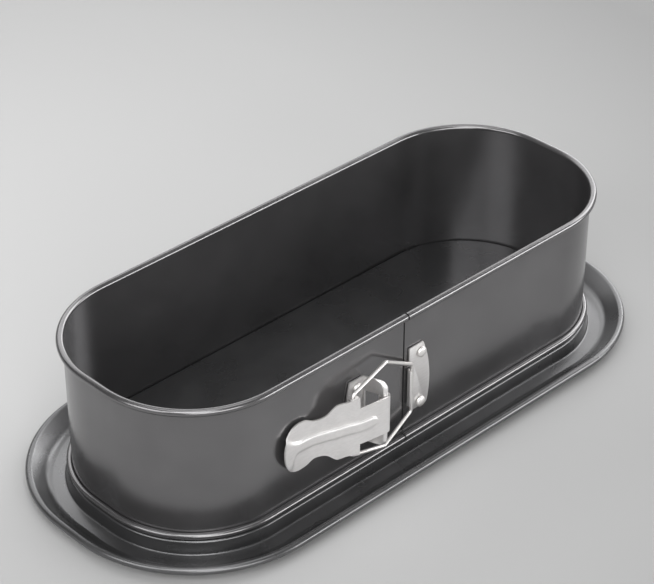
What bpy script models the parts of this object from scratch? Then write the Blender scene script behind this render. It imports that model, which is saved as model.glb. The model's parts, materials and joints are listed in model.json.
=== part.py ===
# Springform loaf pan: a pressed base tray, a spring band with a seam at the front, and an
# over-centre clasp that pulls the band's two ends together.
# Metres, +Z up. X runs along the loaf, the clasp is on the -Y side, and the origin is on the
# table under the middle of the pan.

import math

import bmesh
import bpy
from mathutils import Vector

# Whole pan
PAN_HEIGHT = 0.0750  # table to the top of the rolled rim
WALL_LENGTH = 0.2734  # outside of the band's wall, end to end
WALL_WIDTH = 0.1046  # outside of the band's wall, front to back
CORNER_RADIUS = 0.0456  # outside of the wall, so the ends are nearly half round
CORNER_STEPS = 12
SEAT_GAP = 0.0003  # between pieces that seat on each other

# Base tray, sizes of the sheet's middle surface, offsets outwards from the wall's outside
BASE_SHEET = 0.0008
FLOOR_TOP = 0.0106  # upper face of the raised floor
LEDGE_TOP = 0.0080  # upper face of the ledge that the band stands on
LEDGE_REACH = 0.0036  # from the wall's outside to the outer face of the shoulder at its top
SHOULDER_DRAFT = 0.0004  # how far the shoulder leans out on its way down
SHOULDER_RADIUS = 0.0016
STEP_RADIUS = 0.0007
LIP_ANGLE = math.radians(62)
LIP_RADIUS = 0.0025
TRAY_REACH = 0.0203  # from the wall's outside to the outside of the tray's rolled rim
TRAY_RIM_TOP = 0.0081
TRAY_CURL = 0.0018  # outer radius of the tray's rolled rim
TRAY_CURL_END = math.radians(-110)

# Band
BAND_SHEET = 0.0006
RIM_CURL = 0.0017  # outer radius of the rolled top rim
FOOT_CURL = 0.0015  # outer radius of the rolled bottom edge
CURL_STEPS = 9
RIM_CURL_END = math.radians(-115)
FOOT_CURL_END = math.radians(112)
SEAM_X = -0.0127
SEAM_GAP = 0.0008
LAP_ROOT = 0.0080  # length of the inner lap that lies on the band's left end
LAP_TONGUE = 0.0067  # length of the inner lap past the seam
LAP_CLEAR = 0.0014  # from the rolled edges and the floor to the lap's two ends

# Clasp, seen square on to the front wall. "Out" is the distance from the wall's outside.
CLASP_Z = 0.0386  # middle height of lever, bracket and catch plate
CLASP_SHEET = 0.0007
CLASP_HEIGHT = 0.0336  # of the bracket and of the catch plate
RIVET_EDGE = 0.0036  # from the plates' upper and lower ends to the rivets' middles
RIVET_DROP = 0.0010  # from the clasp's middle down to the middle of the rivet pair
RIVET_HEAD = 0.0026
RIVET_DOME = 0.0013
RIVET_SHANK = 0.0014
RIVET_TAIL = 0.0023
RIVET_TAIL_THICKNESS = 0.0005

# Bail
WIRE_RADIUS = 0.00085
WIRE_CLEAR = 0.00030  # round the bail's bar in its hook
BAIL_BAR_DROP = 0.0031  # the bar's middle lies this much under the clasp's middle
BAIL_BEND_DROP = 0.0016
BAIL_BAR_HALF = 0.0125
BAIL_BEND_HALF = 0.0222
BAIL_END_HALF = 0.0157
BAIL_BEND_REACH = 0.0183  # from the bar to the bends
BAIL_BEND_RADIUS = 0.0022
BAIL_CORNER_RADIUS = 0.0017
STUB_LENGTH = 0.0031

# Catch plate
BAR_X = -0.0097  # axis of the bail's bar
PLATE_RIGHT = 0.0027  # the bulging right edge's furthest x
PLATE_BULGE_RADIUS = 0.0531
PLATE_BULGE_DROP = 0.0041  # the bulge's middle lies this much under the clasp's middle
PLATE_CORNER_X = -0.0101
PLATE_LOWER_X = -0.0074
PLATE_ROUND = 0.0018
CATCH_RIVET_X = -0.0029
HOOK_LIP = 0.0010  # how far the hook stands past the bar's axis
HOOK_LENGTH = 0.0185
HOOK_DROP = 0.0030  # the hook's middle lies this much under the clasp's middle
HOOK_RELIEF = 0.0014

# Bracket
HINGE_X = -0.0336
HINGE_OUT = 0.0094
HINGE_BAR = 0.0015  # radius of the flange's rolled edge, which is the lever's hinge bar
FLANGE_ANGLE = math.radians(70.8)  # between the flange and the wall
FLANGE_BEND = 0.0010
FLANGE_UPPER_CORNER = 0.0050  # the roll follows the flange's rounded corners and thins out there
FLANGE_LOWER_CORNER = 0.0026
ROLL_END = 0.0003  # radius of the roll's thin ends
ROLL_STEPS = 7
ROLL_ROUNDNESS = 6
FOOT_LEFT = -0.0481
FOOT_BULGE_RADIUS = 0.0640
BRACKET_RIVET_X = -0.0416
WINDOW_END = 0.0072  # from the bracket's upper and lower ends to the window
WINDOW_START = 0.0006  # from the foot's outer face outwards

# Lever. "Along" runs from the hinge to the thumb end.
TONGUE_PLAY = 0.0004  # between the tongue's sides and the window's ends
HINGE_CLEAR = 0.00025
KNUCKLE_SWEEP = math.radians(240)
KNUCKLE_STEPS = 10
NOTCH_ALONG = 0.0143
EAR_RADIUS = 0.0019  # round the bail's pivot; the ears begin at the notch
EAR_STEPS = 6
PIVOT_OUT = 0.0068
BODY_STEPS = 16  # rows of the sheet between the ears and the tip
# Along the lever, and how far its middle surface lies out from the hinge axis
LEVER_PROFILE = (
    (0.0074, 0.0011),
    (0.0144, -0.0002),
    (0.0204, -0.0025),
    (0.0254, -0.0040),
    (0.0314, -0.0061),
    (0.0354, -0.0072),
    (0.0399, -0.0077),
    (0.0454, -0.0077),
    (0.0517, -0.0070),
)
# Along the lever, and its half width, from the notch on
LEVER_WIDTH = (
    (0.0143, 0.0147),
    (0.0158, 0.0142),
    (0.0200, 0.0140),
    (0.0241, 0.0141),
    (0.0256, 0.0132),
    (0.0284, 0.0107),
    (0.0312, 0.0097),
    (0.0348, 0.0098),
    (0.0384, 0.0116),
    (0.0420, 0.0121),
)
TIP_START = 0.0420
LEVER_LENGTH = 0.0517
RIB_START = 0.0058
RIB_HALF = 0.0028
RIB_HEIGHT = 0.0008
RIB_FLANK = 0.0012  # width of the rib's sloping sides
RIB_LEAST = 0.0016  # the sheet's columns beside the rib come no closer to the middle
CREST_LEAST = 0.0004
RIB_SHARE = 0.92  # of the tongue's half height, the most that the rib's columns may reach
# Towards the tip the rib opens into a raised pad. Its upper side fades early and softly, its
# lower side turns down late and stays crisp.
PAD_UPPER = (0.0400, 0.0517)
PAD_LOWER = (0.0428, 0.0470)
PAD_REACH = 0.0110
PAD_FADE = 4  # how many times wider the upper side's slope is at the tip

# Round holes and cutting bodies
HOLE_SIDES = 16
BAR_SIDES = 24
OVERRUN = 0.0040  # how far a cutting outline runs past what it cuts
SLIVER = 0.00005  # keeps two joined faces from lying in one plane


def clear_scene():
    for thing in list(bpy.data.objects):
        bpy.data.objects.remove(thing, do_unlink=True)


def make_collection(name):
    collection = bpy.data.collections.new(name)
    bpy.context.scene.collection.children.link(collection)
    return collection


clear_scene()
pan_parts = make_collection("springform_loaf_pan")
cutters = make_collection("cutters")


def make_material(name, colour, roughness, metallic):
    material = bpy.data.materials.new(name)
    material.use_nodes = True
    shader = material.node_tree.nodes["Principled BSDF"]
    shader.inputs["Base Color"].default_value = (*colour, 1.0)
    shader.inputs["Roughness"].default_value = roughness
    shader.inputs["Metallic"].default_value = metallic
    material.diffuse_color = (*colour, 1.0)
    return material


def add_mesh(name, mesh, collection, material=None):
    thing = bpy.data.objects.new(name, mesh)
    collection.objects.link(thing)
    if material is not None:
        mesh.materials.clear()
        mesh.materials.append(material)
    return thing


def arc_points(centre, radius, start, end, steps):
    """Points on an arc in a plane, both ends included."""
    points = []
    for step in range(steps + 1):
        angle = start + (end - start) * step / steps
        points.append((centre[0] + radius * math.cos(angle), centre[1] + radius * math.sin(angle)))
    return points


def wall_y(out):
    """Y of a point that lies a distance out from the front wall's outside."""
    return -WALL_WIDTH / 2 - out


def window_half():
    """Half height of the bracket's window."""
    return CLASP_HEIGHT / 2 - WINDOW_END


def tongue_half():
    """Half height of the lever's tongue, which turns in the window."""
    return window_half() - TONGUE_PLAY


def pivot_along():
    """Where the bail's pivot sits along the lever."""
    return NOTCH_ALONG + EAR_RADIUS


def pivot_place():
    """X and y of the bail's pivot."""
    return HINGE_X - pivot_along(), wall_y(PIVOT_OUT)


# Rounded-rectangle walk round the wall's outside: points with their outward normals.


def corner_stations():
    stations = []
    reach_x = WALL_LENGTH / 2 - CORNER_RADIUS
    reach_y = WALL_WIDTH / 2 - CORNER_RADIUS
    corners = ((1, -1, -90), (1, 1, 0), (-1, 1, 90), (-1, -1, 180))
    for side_x, side_y, start in corners:
        for step in range(CORNER_STEPS + 1):
            angle = math.radians(start + 90 * step / CORNER_STEPS)
            normal = Vector((math.cos(angle), math.sin(angle), 0))
            centre = Vector((side_x * reach_x, side_y * reach_y, 0))
            stations.append((centre + normal * CORNER_RADIUS, normal))
    return stations


def loft_round_wall(name, stations, profile, closed, fill_inside):
    """A sheet's middle surface: each profile point (out, z) carried along the stations."""
    sheet = bmesh.new()
    rows = []
    for out, height in profile:
        row = [sheet.verts.new(point + normal * out + Vector((0, 0, height))) for point, normal in stations]
        rows.append(row)
    count = len(stations)
    last = count if closed else count - 1
    for lower, upper in zip(rows, rows[1:]):
        for index in range(last):
            following = (index + 1) % count
            sheet.faces.new((lower[index], lower[following], upper[following], upper[index]))
    if fill_inside:
        sheet.faces.new(rows[0])
    bmesh.ops.recalc_face_normals(sheet, faces=sheet.faces)
    mesh = bpy.data.meshes.new(name)
    sheet.to_mesh(mesh)
    sheet.free()
    return mesh


def thicken(thing, thickness):
    solid = thing.modifiers.new("thickness", "SOLIDIFY")
    solid.thickness = thickness
    solid.offset = 0
    solid.use_even_offset = True
    solid.use_quality_normals = True


def applied(thing, collection):
    """The evaluated object as a plain mesh object, with curve caps welded."""
    graph = bpy.context.evaluated_depsgraph_get()
    mesh = bpy.data.meshes.new_from_object(thing.evaluated_get(graph))
    sheet = bmesh.new()
    sheet.from_mesh(mesh)
    bmesh.ops.remove_doubles(sheet, verts=sheet.verts, dist=1e-6)
    bmesh.ops.recalc_face_normals(sheet, faces=sheet.faces)
    sheet.to_mesh(mesh)
    sheet.free()
    name = thing.name
    place = thing.matrix_world.copy()
    bpy.data.objects.remove(thing, do_unlink=True)
    result = add_mesh(name, mesh, collection)
    result.matrix_world = place
    return result


def combine(thing, other, operation):
    """A Boolean modifier on thing. The other object becomes a hidden cutter."""
    other.hide_render = True
    other.display_type = "WIRE"
    for collection in list(other.users_collection):
        collection.objects.unlink(other)
    cutters.objects.link(other)
    step = thing.modifiers.new(operation.lower(), "BOOLEAN")
    step.operation = operation
    step.solver = "EXACT"
    step.object = other


def extruded_outline(name, points, thickness, plane, middle):
    """A flat closed outline given thickness. plane is XY, XZ or YZ, middle the place on the third axis."""
    curve = bpy.data.curves.new(name, "CURVE")
    curve.dimensions = "2D"
    curve.fill_mode = "BOTH"
    curve.extrude = thickness / 2
    spline = curve.splines.new("POLY")
    spline.points.add(len(points) - 1)
    for knot, (across, up) in zip(spline.points, points):
        knot.co = (across, up, 0, 1)
    spline.use_cyclic_u = True
    thing = bpy.data.objects.new(name, curve)
    cutters.objects.link(thing)
    if plane == "XY":
        thing.location = (0, 0, middle)
    elif plane == "XZ":
        thing.rotation_euler = (math.pi / 2, 0, 0)
        thing.location = (0, middle, 0)
    else:
        thing.rotation_euler = (math.pi / 2, 0, math.pi / 2)
        thing.location = (middle, 0, 0)
    bpy.context.view_layer.update()
    return applied(thing, cutters)


def ribbon(path, thickness):
    """The closed outline of a strip of even thickness along a path."""
    left, right = [], []
    for index, point in enumerate(path):
        before = Vector(path[max(index - 1, 0)])
        after = Vector(path[min(index + 1, len(path) - 1)])
        here = Vector(point)
        into = (here - before) if index else (after - here)
        away = (after - here) if index < len(path) - 1 else (here - before)
        into.normalize()
        away.normalize()
        side = Vector((-into.y - away.y, into.x + away.x)).normalized()
        stretch = 1 / max(0.5, side.dot(Vector((-into.y, into.x))))
        left.append(tuple(here + side * thickness / 2 * stretch))
        right.append(tuple(here - side * thickness / 2 * stretch))
    return left + right[::-1]


def cylinder(name, radius, length, centre, axis, sides=HOLE_SIDES):
    shape = bmesh.new()
    bmesh.ops.create_cone(
        shape, cap_ends=True, segments=sides, radius1=radius, radius2=radius, depth=length
    )
    mesh = bpy.data.meshes.new(name)
    shape.to_mesh(mesh)
    shape.free()
    thing = add_mesh(name, mesh, cutters)
    if axis == "Y":
        thing.rotation_euler = (math.pi / 2, 0, 0)
    thing.location = centre
    bpy.context.view_layer.update()
    return thing


def block(name, low, high):
    shape = bmesh.new()
    bmesh.ops.create_cube(shape, size=1)
    for vert in shape.verts:
        for axis in range(3):
            vert.co[axis] = low[axis] if vert.co[axis] < 0 else high[axis]
    mesh = bpy.data.meshes.new(name)
    shape.to_mesh(mesh)
    shape.free()
    return add_mesh(name, mesh, cutters)


def finish_piece(thing, material, origin, sharp=math.radians(32)):
    """Bakes the piece's steps, gives it its material and puts its origin on its own axis."""
    piece = applied(thing, pan_parts)
    piece.data.transform(piece.matrix_world)
    piece.matrix_world.identity()
    shift = Vector(origin)
    for vert in piece.data.vertices:
        vert.co -= shift
    piece.location = shift
    piece.data.materials.clear()
    piece.data.materials.append(material)
    piece.data.shade_smooth()
    piece.data.set_sharp_from_angle(angle=sharp)
    return piece


# Base tray


def base_profile():
    """Middle surface of the tray's sheet, from the raised floor's edge out to the rolled rim."""
    half = BASE_SHEET / 2
    step_out = -BAND_SHEET - SEAT_GAP - half
    floor_z = FLOOR_TOP - half
    ledge_z = LEDGE_TOP - half
    shoulder_out = LEDGE_REACH - half
    channel_z = half
    quarter = math.pi / 2

    profile = arc_points((step_out - STEP_RADIUS, floor_z - STEP_RADIUS), STEP_RADIUS, quarter, 0, 3)
    profile += arc_points(
        (step_out + STEP_RADIUS, ledge_z + STEP_RADIUS), STEP_RADIUS, math.pi, 3 * quarter, 3
    )
    profile += arc_points(
        (shoulder_out - SHOULDER_RADIUS, ledge_z - SHOULDER_RADIUS), SHOULDER_RADIUS, quarter, 0, 4
    )
    foot_out = shoulder_out + SHOULDER_DRAFT
    profile += arc_points(
        (foot_out + SHOULDER_RADIUS, channel_z + SHOULDER_RADIUS), SHOULDER_RADIUS, math.pi, 3 * quarter, 4
    )

    curl = TRAY_CURL - half
    curl_centre = (TRAY_REACH - TRAY_CURL, TRAY_RIM_TOP - TRAY_CURL)
    touch = math.pi / 2 + LIP_ANGLE
    touch_out = curl_centre[0] + curl * math.cos(touch)
    touch_z = curl_centre[1] + curl * math.sin(touch)
    bend_top = channel_z + LIP_RADIUS * (1 - math.cos(LIP_ANGLE))
    bend_out = touch_out - (touch_z - bend_top) / math.tan(LIP_ANGLE)
    bend_centre = (bend_out - LIP_RADIUS * math.sin(LIP_ANGLE), channel_z + LIP_RADIUS)
    profile += arc_points(bend_centre, LIP_RADIUS, -quarter, -quarter + LIP_ANGLE, 3)
    profile += arc_points(curl_centre, curl, touch, TRAY_CURL_END, CURL_STEPS)
    return profile


def make_base(material):
    mesh = loft_round_wall("base_tray", corner_stations(), base_profile(), closed=True, fill_inside=True)
    tray = add_mesh("base_tray", mesh, cutters)
    thicken(tray, BASE_SHEET)
    return finish_piece(tray, material, (0, 0, 0))


# Band


def band_profile():
    """Middle surface of the band's sheet, from the rolled bottom edge up to the rolled rim."""
    half = BAND_SHEET / 2
    foot = FOOT_CURL - half
    rim = RIM_CURL - half
    foot_centre = (-half + foot, LEDGE_TOP + SEAT_GAP + FOOT_CURL)
    rim_centre = (-half + rim, PAN_HEIGHT - RIM_CURL)
    profile = arc_points(foot_centre, foot, 2 * math.pi + FOOT_CURL_END, math.pi, CURL_STEPS)
    profile += arc_points(rim_centre, rim, math.pi, RIM_CURL_END, CURL_STEPS)
    return profile


def band_stations():
    """The walk round the wall, from the seam's right end round the back to its left end."""
    front = wall_y(0)
    outward = Vector((0, -1, 0))
    right_end = (Vector((SEAM_X + SEAM_GAP / 2, front, 0)), outward)
    left_end = (Vector((SEAM_X - SEAM_GAP / 2, front, 0)), outward)
    return [right_end] + corner_stations() + [left_end]


def make_lap():
    """The inner lap: it lies on the left end and reaches behind the right end."""
    inner = wall_y(-BAND_SHEET)
    buried = BAND_SHEET / 4
    root = SEAM_X - SEAM_GAP / 2
    thick_y = inner + SEAT_GAP + BAND_SHEET
    outline = (
        (root - LAP_ROOT, inner - buried),
        (root, inner - buried),
        (root, inner + SEAT_GAP),
        (root + SEAM_GAP + LAP_TONGUE, inner + SEAT_GAP),
        (root + SEAM_GAP + LAP_TONGUE, thick_y),
        (root - LAP_ROOT + BAND_SHEET, thick_y),
    )
    low = FLOOR_TOP + LAP_CLEAR
    high = PAN_HEIGHT - 2 * RIM_CURL - LAP_CLEAR
    return extruded_outline("lap", outline, high - low, "XY", (low + high) / 2)


def make_band(material):
    mesh = loft_round_wall("band", band_stations(), band_profile(), closed=False, fill_inside=False)
    band = add_mesh("band", mesh, cutters)
    thicken(band, BAND_SHEET)
    band = applied(band, cutters)
    combine(band, make_lap(), "UNION")
    for place in rivet_places().values():
        combine(band, rivet_hole(place), "DIFFERENCE")
    return finish_piece(band, material, (0, 0, 0))


# Rivets


def rivet_places():
    """Each rivet's name with its x and z on the front wall."""
    middle = CLASP_Z - RIVET_DROP
    spread = CLASP_HEIGHT / 2 - RIVET_EDGE
    places = {}
    for owner, x in (("bracket", BRACKET_RIVET_X), ("catch", CATCH_RIVET_X)):
        places[owner + "_rivet_upper"] = (x, middle + spread)
        places[owner + "_rivet_lower"] = (x, middle - spread)
    return places


def rivet_hole(place):
    length = 6 * (CLASP_SHEET + BAND_SHEET)
    return cylinder("rivet_hole", RIVET_SHANK + SEAT_GAP, length, (place[0], wall_y(0), place[1]), "Y")


def make_rivet(name, place, material):
    """Domed head outside the plate, shank through plate and wall, flat tail inside the band."""
    plate_face = SEAT_GAP + CLASP_SHEET
    seat = plate_face + SEAT_GAP
    inner = -BAND_SHEET - SEAT_GAP
    dome_radius = (RIVET_HEAD ** 2 + RIVET_DOME ** 2) / (2 * RIVET_DOME)
    half_angle = math.asin(RIVET_HEAD / dome_radius)
    centre = (0, seat + RIVET_DOME - dome_radius)
    profile = arc_points(centre, dome_radius, math.pi / 2, math.pi / 2 - half_angle, 4)
    profile += [
        (RIVET_SHANK, seat),
        (RIVET_SHANK, inner),
        (RIVET_TAIL, inner),
        (RIVET_TAIL, inner - RIVET_TAIL_THICKNESS),
        (0, inner - RIVET_TAIL_THICKNESS),
    ]
    profile[0] = (0, seat + RIVET_DOME)
    outline = bmesh.new()
    knots = [outline.verts.new((across, 0, up)) for across, up in profile]
    for one, two in zip(knots, knots[1:]):
        outline.edges.new((one, two))
    mesh = bpy.data.meshes.new(name)
    outline.to_mesh(mesh)
    outline.free()
    rivet = add_mesh(name, mesh, cutters)
    turn = rivet.modifiers.new("turn", "SCREW")
    turn.axis = "Z"
    turn.steps = 14
    turn.render_steps = 14
    turn.use_merge_vertices = True
    turn.merge_threshold = 0.00001
    rivet.rotation_euler = (math.pi / 2, 0, 0)
    rivet.location = (place[0], wall_y(0), place[1])
    bpy.context.view_layer.update()
    return finish_piece(rivet, material, (place[0], wall_y(0), place[1]))


# Catch plate


def bar_out():
    """The bail bar's axis, out from the wall: it lies in the hook over the plate's sheet."""
    return SEAT_GAP + CLASP_SHEET + WIRE_CLEAR + WIRE_RADIUS


def catch_section():
    """The plate and its turned-up hook, seen from above."""
    bend = WIRE_RADIUS + WIRE_CLEAR + CLASP_SHEET / 2
    path = [(PLATE_RIGHT + OVERRUN, SEAT_GAP + CLASP_SHEET / 2)]
    path += arc_points((BAR_X, bar_out()), bend, -math.pi / 2, -math.pi, 6)
    path.append((BAR_X - bend, bar_out() + HOOK_LIP))
    return [(x, wall_y(out)) for x, out in ribbon(path, CLASP_SHEET)]


def catch_front():
    """The plate's outline, seen square on: straight left side with the hook's stretch, bulging right."""
    top = CLASP_Z + CLASP_HEIGHT / 2
    bottom = CLASP_Z - CLASP_HEIGHT / 2
    bulge_z = CLASP_Z - PLATE_BULGE_DROP
    centre = (PLATE_RIGHT - PLATE_BULGE_RADIUS, bulge_z)
    top_angle = math.asin((top - bulge_z) / PLATE_BULGE_RADIUS)
    low_angle = math.asin((bottom + PLATE_ROUND - bulge_z) / PLATE_BULGE_RADIUS)
    low_x = centre[0] + PLATE_BULGE_RADIUS * math.cos(low_angle)
    hook_top = CLASP_Z - HOOK_DROP + HOOK_LENGTH / 2
    hook_low = CLASP_Z - HOOK_DROP - HOOK_LENGTH / 2
    hook_left = BAR_X - 2 * (WIRE_RADIUS + WIRE_CLEAR + CLASP_SHEET)
    relief_x = PLATE_CORNER_X + 2 * HOOK_RELIEF
    outline = arc_points(centre, PLATE_BULGE_RADIUS, low_angle, top_angle, 10)
    outline += [
        (PLATE_CORNER_X, top),
        (PLATE_CORNER_X, hook_top + HOOK_RELIEF),
        (relief_x, hook_top + HOOK_RELIEF),
        (relief_x, hook_top),
        (hook_left, hook_top),
        (hook_left, hook_low),
        (PLATE_LOWER_X, hook_low),
        (PLATE_LOWER_X, bottom),
    ]
    outline += arc_points((low_x - PLATE_ROUND, bottom + PLATE_ROUND), PLATE_ROUND, -math.pi / 2, 0, 4)[:-1]
    return outline


def make_catch_plate(material):
    tall = 2 * CLASP_HEIGHT
    plate = extruded_outline("catch_plate", catch_section(), tall, "XY", CLASP_Z)
    front = extruded_outline("catch_front", catch_front(), 4 * HINGE_OUT, "XZ", wall_y(0))
    combine(plate, front, "INTERSECT")
    for name, place in rivet_places().items():
        if name.startswith("catch"):
            combine(plate, rivet_hole(place), "DIFFERENCE")
    return finish_piece(plate, material, (CATCH_RIVET_X, wall_y(0), CLASP_Z))


# Hinge bracket


def flange_frame():
    """Seen from above: a point of the flange's middle surface beside the hinge axis, the flange's
    direction outwards, and the direction from it to the axis."""
    along = Vector((math.cos(FLANGE_ANGLE), math.sin(FLANGE_ANGLE)))
    aside = Vector((math.sin(FLANGE_ANGLE), -math.cos(FLANGE_ANGLE)))
    touch = Vector((HINGE_X, HINGE_OUT)) - aside * (HINGE_BAR - CLASP_SHEET / 2 - SLIVER)
    return touch, along, aside


def bracket_section():
    """Foot and flange, seen from above."""
    mid = SEAT_GAP + CLASP_SHEET / 2
    touch, along, _ = flange_frame()
    corner_x = touch.x - (touch.y - mid) * along.x / along.y
    run = FLANGE_BEND * math.tan(FLANGE_ANGLE / 2)
    path = [(FOOT_LEFT - OVERRUN, mid)]
    path += arc_points(
        (corner_x - run, mid + FLANGE_BEND), FLANGE_BEND, -math.pi / 2, -math.pi / 2 + FLANGE_ANGLE, 4
    )
    path.append(tuple(touch))
    return [(x, wall_y(out)) for x, out in ribbon(path, CLASP_SHEET)]


def bracket_front():
    """Square on: the foot's bulging left edge, and straight top and bottom."""
    top = CLASP_Z + CLASP_HEIGHT / 2
    bottom = CLASP_Z - CLASP_HEIGHT / 2
    centre = (FOOT_LEFT + FOOT_BULGE_RADIUS, CLASP_Z)
    swing = math.asin(CLASP_HEIGHT / 2 / FOOT_BULGE_RADIUS)
    outline = arc_points(centre, FOOT_BULGE_RADIUS, math.pi - swing, math.pi + swing, 8)
    outline += [(HINGE_X + OVERRUN, bottom), (HINGE_X + OVERRUN, top)]
    return outline


def roll_places(corner):
    """The rolled edge's middle line from the flange's end round its corner to the hinge axis:
    distance outwards along the flange, height from the clasp's middle, radius."""
    places = []
    for step in range(ROLL_STEPS + 1):
        share = 1 - step / ROLL_STEPS
        radius = ROLL_END + (HINGE_BAR - ROLL_END) * (1 - share ** 2.5)
        angle = share * math.pi / 2
        reach = corner - radius
        away = HINGE_BAR - corner + reach * math.cos(angle)
        height = CLASP_HEIGHT / 2 - corner + reach * math.sin(angle)
        places.append((away, height, radius))
    return places


def bracket_side():
    """From the side: the flange's sheet ends in the middle of the rolled edge."""
    touch, along, _ = flange_frame()
    halves = []
    for corner in (FLANGE_UPPER_CORNER, FLANGE_LOWER_CORNER):
        edge = [(wall_y(touch.y + along.y * away), height) for away, height, _ in roll_places(corner)]
        halves.append([(wall_y(-OVERRUN), CLASP_HEIGHT), (edge[0][0], CLASP_HEIGHT)] + edge)
    outline = [(y, CLASP_Z + height) for y, height in halves[0]]
    outline += [(y, CLASP_Z - height) for y, height in halves[1][::-1]]
    return outline


def make_rolled_edge():
    """The bent-over edge as a tapering rod: thin at the flange's top and bottom, full at the
    hinge. Its two ends lie inside the sheet."""
    touch, along, aside = flange_frame()
    upper = roll_places(FLANGE_UPPER_CORNER)
    lower = [(away, -height, radius) for away, height, radius in roll_places(FLANGE_LOWER_CORNER)]
    for half, inwards in ((upper, -SLIVER), (lower, SLIVER)):
        away, height, radius = half[0]
        half.insert(0, (away - 3 * ROLL_END, height + inwards, radius))
    knots = []
    for away, height, radius in upper + lower[::-1]:
        x, out = touch + along * away + aside * max(radius - CLASP_SHEET / 2 - SLIVER, 0)
        knots.append((x, wall_y(out), height, radius))
    curve = bpy.data.curves.new("rolled_edge", "CURVE")
    curve.dimensions = "3D"
    curve.bevel_depth = 1
    curve.bevel_resolution = ROLL_ROUNDNESS
    curve.use_fill_caps = True
    spline = curve.splines.new("POLY")
    spline.points.add(len(knots) - 1)
    for knot, (x, y, height, radius) in zip(spline.points, knots):
        knot.co = (x, y, CLASP_Z + height, 1)
        knot.radius = radius
    roll = bpy.data.objects.new("rolled_edge", curve)
    cutters.objects.link(roll)
    bpy.context.view_layer.update()
    return applied(roll, cutters)


def make_window():
    """Clears the flange round the hinge bar over the tongue's height, and leaves the bar."""
    low_out = SEAT_GAP + CLASP_SHEET + WINDOW_START
    half = window_half()
    low = (HINGE_X - 3 * OVERRUN, wall_y(HINGE_OUT + OVERRUN), CLASP_Z - half)
    high = (HINGE_X + OVERRUN, wall_y(low_out), CLASP_Z + half)
    window = block("window", low, high)
    bar = cylinder("bar", HINGE_BAR + SLIVER, 4 * half, (HINGE_X, wall_y(HINGE_OUT), CLASP_Z), "Z", BAR_SIDES)
    combine(window, bar, "DIFFERENCE")
    return applied(window, cutters)


def make_bracket(material):
    bracket = extruded_outline("hinge_bracket", bracket_section(), 2 * CLASP_HEIGHT, "XY", CLASP_Z)
    front = extruded_outline("bracket_front", bracket_front(), 4 * HINGE_OUT, "XZ", wall_y(0))
    side = extruded_outline("bracket_side", bracket_side(), 4 * (HINGE_X - FOOT_LEFT), "YZ", HINGE_X)
    combine(bracket, front, "INTERSECT")
    combine(bracket, side, "INTERSECT")
    combine(bracket, make_rolled_edge(), "UNION")
    combine(bracket, make_window(), "DIFFERENCE")
    for name, place in rivet_places().items():
        if name.startswith("bracket"):
            combine(bracket, rivet_hole(place), "DIFFERENCE")
    return finish_piece(bracket, material, (HINGE_X, wall_y(HINGE_OUT), CLASP_Z))


# Lever


def smooth_value(points, where):
    """A smooth curve through the points, read at where."""
    for index in range(len(points) - 1):
        (x1, y1), (x2, y2) = points[index], points[index + 1]
        if where <= x2 or index == len(points) - 2:
            before = points[max(index - 1, 0)]
            after = points[min(index + 2, len(points) - 1)]
            slope1 = (y2 - before[1]) / (x2 - before[0])
            slope2 = (after[1] - y1) / (after[0] - x1)
            span = x2 - x1
            t = min(max((where - x1) / span, 0), 1)
            blend1 = 2 * t ** 3 - 3 * t ** 2 + 1
            blend2 = t ** 3 - 2 * t ** 2 + t
            blend3 = -2 * t ** 3 + 3 * t ** 2
            blend4 = t ** 3 - t ** 2
            return blend1 * y1 + blend2 * span * slope1 + blend3 * y2 + blend4 * span * slope2


def knuckle_radius():
    """Middle surface of the knuckle that curls round the hinge bar."""
    return HINGE_BAR + HINGE_CLEAR + CLASP_SHEET / 2


def lever_half_width(along):
    half = smooth_value(LEVER_WIDTH, along)
    if along > TIP_START:
        share = (along - TIP_START) / (LEVER_LENGTH - TIP_START)
        half = LEVER_WIDTH[-1][1] * math.sqrt(max(0, 1 - share ** 2))
    return half


def rib_side(along, side):
    """The rib's half width on one side, and the width of its slope there. Its first end is
    round, and towards the tip it opens into the pad."""
    start, end = PAD_UPPER if side > 0 else PAD_LOWER
    share = min(max((along - start) / (end - start), 0), 1)
    half = RIB_HALF + (PAD_REACH - RIB_HALF) * share ** 2
    run_in = max(along - RIB_START, 0)
    if run_in < half:
        half *= math.sqrt(1 - (1 - run_in / half) ** 2)
    fade = 1 + (PAD_FADE - 1) * share if side > 0 else 1
    return half, RIB_FLANK * fade


def rib_rise(along, z):
    """How far the pressed rib lifts the sheet outwards."""
    half, flank = rib_side(along, z)
    share = min(max((half - abs(z)) / flank, 0), 1)
    return RIB_HEIGHT * share * share * (3 - 2 * share)


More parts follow.
